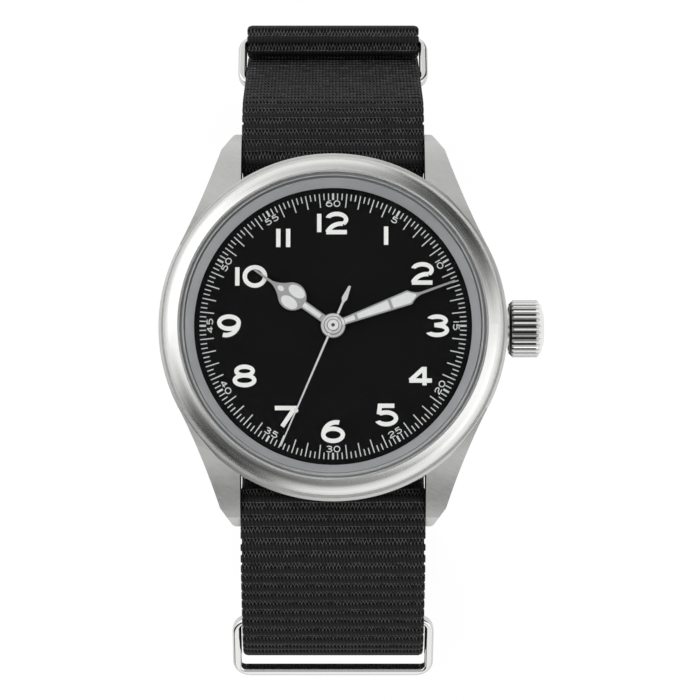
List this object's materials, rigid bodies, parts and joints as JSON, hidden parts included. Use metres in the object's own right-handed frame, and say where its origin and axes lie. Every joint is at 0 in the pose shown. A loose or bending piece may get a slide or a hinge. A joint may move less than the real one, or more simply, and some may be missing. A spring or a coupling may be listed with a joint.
{
  "type": "wrist watch",
  "caption": "Field watch: brushed steel case, matte black dial with luminous hour figures, three hands, fluted crown, ribbed nylon pass-through strap with steel rings and buckle.",
  "frame": {"origin": "on the table plane under the dial's centre, at the middle of the strap loop's flat underside", "axes": "+Z out of the dial, +Y from the dial's centre to 12 o'clock, +X to 3 o'clock and the crown"},
  "size_m": [0.0421, 0.0765, 0.0561],
  "materials": {
    "case_steel": "satin brushed",
    "bezel_steel": "satin turned",
    "polished_steel": "polished",
    "stem_steel": "polished",
    "glass": "clear",
    "rehaut_steel": "satin",
    "dial_black": "matte",
    "print_white": "printed",
    "lume": "matte luminous paint",
    "hand_silver": "frosted",
    "rubber_black": "matte",
    "nylon_clear": "matte",
    "holder_plastic": "matte",
    "plate_brass": "satin",
    "gear_brass": "bright",
    "bridge_steel": "satin",
    "board_green": "lacquered",
    "can_steel": "bright",
    "coil_copper": "enamelled copper wire",
    "stator_iron": "satin",
    "battery_steel": "bright",
    "magnet": "satin",
    "nylon_black": "ribbed weave",
    "thread_black": "thread"
  },
  "bodies": {
    "watch": {"mid_case": "case_steel", "bezel": "bezel_steel", "crystal": "glass", "crystal_gasket": "nylon_clear", "rehaut_ring": "rehaut_steel", "case_back": "case_steel", "case_back_gasket": "rubber_black", "crown_tube": "stem_steel", "dial": "dial_black", "dial_numerals": "lume", "dial_minute_track": "print_white", "dial_minute_figures": "print_white", "movement_holder": "holder_plastic", "main_plate": "plate_brass", "train_bridge": "bridge_steel", "movement_screws": "stem_steel", "circuit_board": "board_green", "quartz_can": "can_steel", "coil": "coil_copper", "stator": "stator_iron", "battery": "battery_steel", "battery_clamp": "bridge_steel", "spring_bar_tube_12": "stem_steel", "spring_bar_tube_6": "stem_steel", "spring_bar_spring_12": "stem_steel", "spring_bar_spring_6": "stem_steel", "strap": "nylon_black", "short_flap": "nylon_black", "stitching": "thread_black", "upper_keeper": "polished_steel"},
    "clutch": {"clutch_wheel": "stem_steel"},
    "crown": {"crown": "polished_steel", "stem": "stem_steel", "crown_gasket": "rubber_black"},
    "setting_lever": {"setting_lever": "bridge_steel"},
    "minute_hand": {"cannon_pinion": "gear_brass", "minute_hand": "hand_silver", "minute_hand_lume": "lume"},
    "minute_wheel": {"minute_wheel": "gear_brass"},
    "hour_hand": {"hour_wheel": "gear_brass", "hour_hand": "hand_silver", "hour_hand_lume": "lume"},
    "seconds_hand": {"seconds_wheel": "gear_brass", "seconds_hand": "hand_silver", "seconds_hand_lume": "lume"},
    "third_wheel": {"third_wheel": "gear_brass"},
    "centre_wheel": {"centre_wheel": "gear_brass"},
    "fifth_wheel": {"fifth_wheel": "gear_brass"},
    "rotor": {"rotor": "magnet"},
    "spring_bar_pin_12_left": {"spring_bar_pin_12_left": "stem_steel"},
    "spring_bar_pin_12_right": {"spring_bar_pin_12_right": "stem_steel"},
    "spring_bar_pin_6_left": {"spring_bar_pin_6_left": "stem_steel"},
    "spring_bar_pin_6_right": {"spring_bar_pin_6_right": "stem_steel"},
    "buckle_frame": {"buckle_frame": "polished_steel", "buckle_bar": "polished_steel"},
    "buckle_tongue": {"buckle_tongue": "polished_steel"},
    "lower_keeper": {"lower_keeper": "polished_steel"},
    "flap_ring": {"flap_ring": "polished_steel"}
  },
  "joints": [
    {"name": "minute_hand_spin", "type": "hinge", "parent": "watch", "child": "minute_hand", "pos_m": [0, 0, 0.05], "axis": [0, 0, -1], "continuous": true},
    {"name": "hour_hand_spin", "type": "hinge", "parent": "watch", "child": "hour_hand", "pos_m": [0, 0, 0.05], "axis": [0, 0, -1], "continuous": true},
    {"name": "minute_wheel_spin", "type": "hinge", "parent": "watch", "child": "minute_wheel", "pos_m": [0.0024, -0.0024, 0.05], "axis": [0, 0, -1], "continuous": true},
    {"name": "seconds_hand_spin", "type": "hinge", "parent": "watch", "child": "seconds_hand", "pos_m": [0, 0, 0.05], "axis": [0, 0, -1], "continuous": true},
    {"name": "third_wheel_spin", "type": "hinge", "parent": "watch", "child": "third_wheel", "pos_m": [0, 0.0036, 0.05], "axis": [0, 0, -1], "continuous": true},
    {"name": "centre_wheel_spin", "type": "hinge", "parent": "watch", "child": "centre_wheel", "pos_m": [0, 0, 0.05], "axis": [0, 0, -1], "continuous": true},
    {"name": "fifth_wheel_spin", "type": "hinge", "parent": "watch", "child": "fifth_wheel", "pos_m": [-0.00312, -0.0018, 0.05], "axis": [0, 0, -1], "continuous": true},
    {"name": "rotor_spin", "type": "hinge", "parent": "watch", "child": "rotor", "pos_m": [-0.00634, -0.0018, 0.05], "axis": [0, 0, -1], "continuous": true},
    {"name": "crown_spin", "type": "hinge", "parent": "watch", "child": "clutch", "pos_m": [0.008, 0, 0.0498], "axis": [1, 0, 0], "continuous": true},
    {"name": "crown_pull", "type": "slide", "parent": "clutch", "child": "crown", "axis": [1, 0, 0], "range_m": [0, 0.001]},
    {"name": "setting_lever_turn", "type": "hinge", "parent": "watch", "child": "setting_lever", "pos_m": [0.0106, 0.0034, 0.0498], "axis": [0, 0, 1], "range_deg": [0, 19.2]},
    {"name": "spring_bar_pin_12_left_press", "type": "slide", "parent": "watch", "child": "spring_bar_pin_12_left", "axis": [1, 0, 0], "range_m": [0, 0.0008], "stiffness_N_per_m": 100, "springref_m": -0.003, "deforming": ["spring_bar_spring_12"]},
    {"name": "spring_bar_pin_12_right_press", "type": "slide", "parent": "watch", "child": "spring_bar_pin_12_right", "axis": [-1, 0, 0], "range_m": [0, 0.0008], "stiffness_N_per_m": 100, "springref_m": -0.003, "deforming": ["spring_bar_spring_12"]},
    {"name": "spring_bar_pin_6_left_press", "type": "slide", "parent": "watch", "child": "spring_bar_pin_6_left", "axis": [1, 0, 0], "range_m": [0, 0.0008], "stiffness_N_per_m": 100, "springref_m": -0.003, "deforming": ["spring_bar_spring_6"]},
    {"name": "spring_bar_pin_6_right_press", "type": "slide", "parent": "watch", "child": "spring_bar_pin_6_right", "axis": [-1, 0, 0], "range_m": [0, 0.0008], "stiffness_N_per_m": 100, "springref_m": -0.003, "deforming": ["spring_bar_spring_6"]},
    {"name": "buckle_frame_swing", "type": "hinge", "parent": "watch", "child": "buckle_frame", "pos_m": [0, -0.004, 0.0034], "axis": [1, 0, 0], "range_deg": [0, 2]},
    {"name": "buckle_tongue_swing", "type": "hinge", "parent": "buckle_frame", "child": "buckle_tongue", "pos_m": [0, -0.004, 0.0034], "axis": [1, 0, 0], "range_deg": [0, 1]},
    {"name": "lower_keeper_swing", "type": "hinge", "parent": "watch", "child": "lower_keeper", "pos_m": [0, 0.03131, 0.01317], "axis": [1, 0, 0], "range_deg": [0, 50]},
    {"name": "flap_ring_swing", "type": "hinge", "parent": "watch", "child": "flap_ring", "pos_m": [0, -0.0319, 0.0407], "axis": [-1, 0, 0], "range_deg": [0, 25]}
  ],
  "couplings": [
    {"joint": "hour_hand_spin", "follows": "minute_hand_spin", "ratio": 0.083333},
    {"joint": "minute_wheel_spin", "follows": "minute_hand_spin", "ratio": -0.33333},
    {"joint": "third_wheel_spin", "follows": "seconds_hand_spin", "ratio": -0.13333},
    {"joint": "centre_wheel_spin", "follows": "seconds_hand_spin", "ratio": 0.016667},
    {"joint": "fifth_wheel_spin", "follows": "seconds_hand_spin", "ratio": -5},
    {"joint": "rotor_spin", "follows": "seconds_hand_spin", "ratio": 30},
    {"joint": "setting_lever_turn", "follows": "crown_pull", "rad_per_m": 335}
  ]
}
